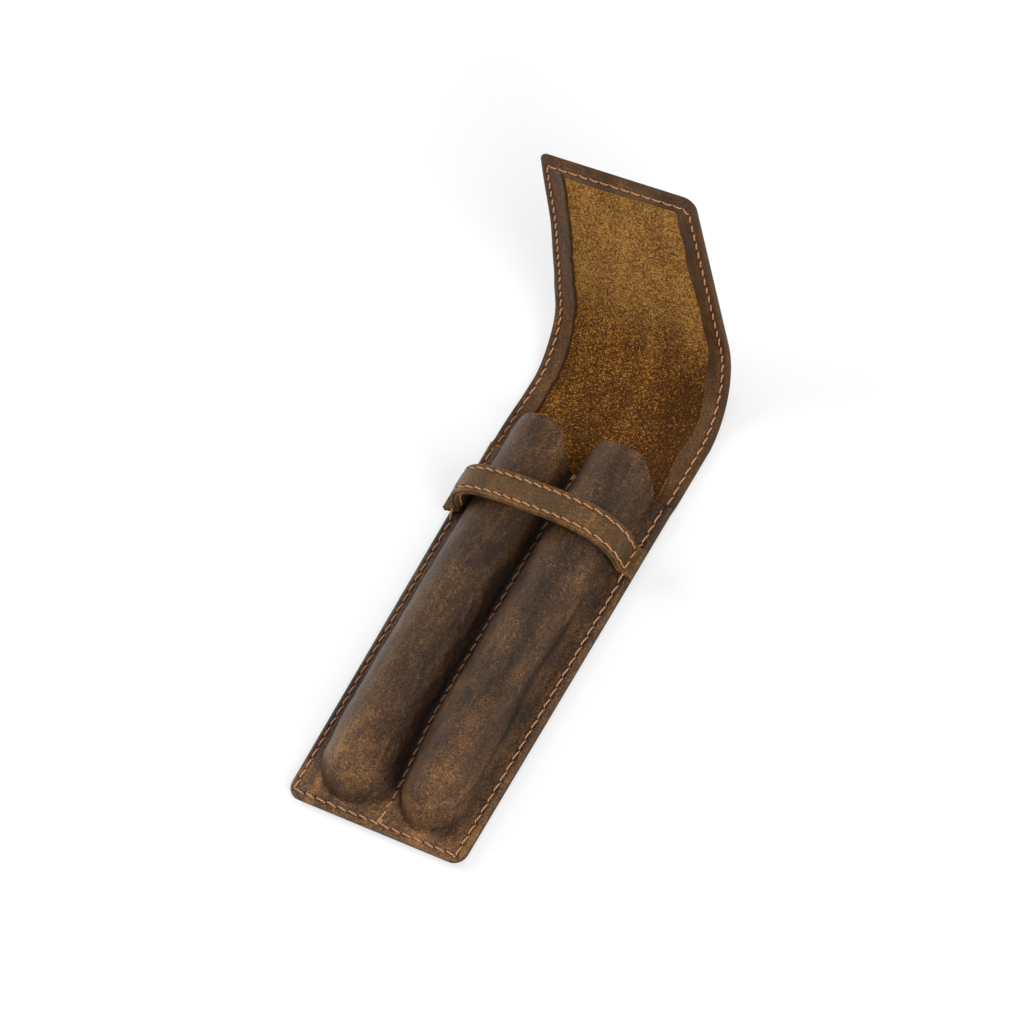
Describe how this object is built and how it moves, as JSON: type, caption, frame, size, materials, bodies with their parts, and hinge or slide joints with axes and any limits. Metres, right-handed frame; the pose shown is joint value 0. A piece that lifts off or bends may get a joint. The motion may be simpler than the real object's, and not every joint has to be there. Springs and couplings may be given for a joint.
{
  "type": "leather pen pouch",
  "caption": "Slim leather pouch with moulded tubes side by side, a sewn strap across them and a long flap that curls over the mouth.",
  "frame": {"origin": "on the flat back of the pouch, on its centre line, 70.6 mm above the bottom edge", "axes": "+X across the pouch to the right of someone who faces its front, +Y from the bottom edge towards the flap, +Z out of the front; it lies on its back"},
  "size_m": [0.0606, 0.1773, 0.0749],
  "materials": {
    "back_leather": "waxy pull-up leather, matte",
    "front_leather": "waxy pull-up leather, soft sheen",
    "strap_leather": "waxy pull-up leather, worn lighter",
    "thread": "waxed thread, matte"
  },
  "bodies": {
    "body": {"back_panel": "back_leather", "pocket_panel": "front_leather", "strap_lining": "strap_leather", "strap_outer": "strap_leather", "centre_seam": "thread", "centre_tack_bottom": "thread", "centre_tack_top": "thread", "edge_seam_bottom": "thread", "strap_seam_lower": "thread", "strap_seam_upper": "thread", "edge_seam_left_lower": "thread", "edge_seam_left_foot": "thread", "edge_seam_left_mouth": "thread", "edge_seam_left_top": "thread", "edge_seam_right_lower": "thread", "edge_seam_right_foot": "thread", "edge_seam_right_mouth": "thread", "edge_seam_right_top": "thread"},
    "strip_1": {"flap_strip_1": "back_leather", "strip_seam_left_1": "thread", "strip_seam_right_1": "thread"},
    "strip_2": {"flap_strip_2": "back_leather", "strip_seam_left_2": "thread", "strip_seam_right_2": "thread"},
    "strip_3": {"flap_strip_3": "back_leather", "strip_seam_left_3": "thread", "strip_seam_right_3": "thread"},
    "strip_4": {"flap_strip_4": "back_leather", "strip_seam_left_4": "thread", "strip_seam_right_4": "thread"},
    "flap": {"flap_blade": "back_leather", "flap_seam_left": "thread", "flap_seam_right": "thread", "flap_seam_tip": "thread"}
  },
  "joints": [
    {"name": "fold_1", "type": "hinge", "parent": "body", "child": "strip_1", "pos_m": [0, 0.0748, 0.0006], "axis": [1, 0, 0], "range_deg": [-15.7, 19.4], "stiffness_Nm_per_rad": 0.02, "springref_deg": 3.61},
    {"name": "fold_2", "type": "hinge", "parent": "strip_1", "child": "strip_2", "pos_m": [0, 0.08115, 0.00239], "axis": [1, 0, 0], "range_deg": [-15.7, 19.4], "stiffness_Nm_per_rad": 0.02, "springref_deg": 2.56},
    {"name": "fold_3", "type": "hinge", "parent": "strip_2", "child": "strip_3", "pos_m": [0, 0.08679, 0.00583], "axis": [1, 0, 0], "range_deg": [-15.7, 19.4], "stiffness_Nm_per_rad": 0.02, "springref_deg": 1.71},
    {"name": "fold_4", "type": "hinge", "parent": "strip_3", "child": "strip_4", "pos_m": [0, 0.09128, 0.01066], "axis": [1, 0, 0], "range_deg": [-15.7, 19.4], "stiffness_Nm_per_rad": 0.02, "springref_deg": 1.08},
    {"name": "fold_5", "type": "hinge", "parent": "strip_4", "child": "flap", "pos_m": [0, 0.0943, 0.01653], "axis": [1, 0, 0], "range_deg": [-15.7, 19.4], "stiffness_Nm_per_rad": 0.02, "springref_deg": 0.7}
  ],
  "couplings": [
    {"joint": "fold_2", "follows": "fold_1", "ratio": 1},
    {"joint": "fold_3", "follows": "fold_1", "ratio": 1},
    {"joint": "fold_4", "follows": "fold_1", "ratio": 1},
    {"joint": "fold_5", "follows": "fold_1", "ratio": 1}
  ]
}
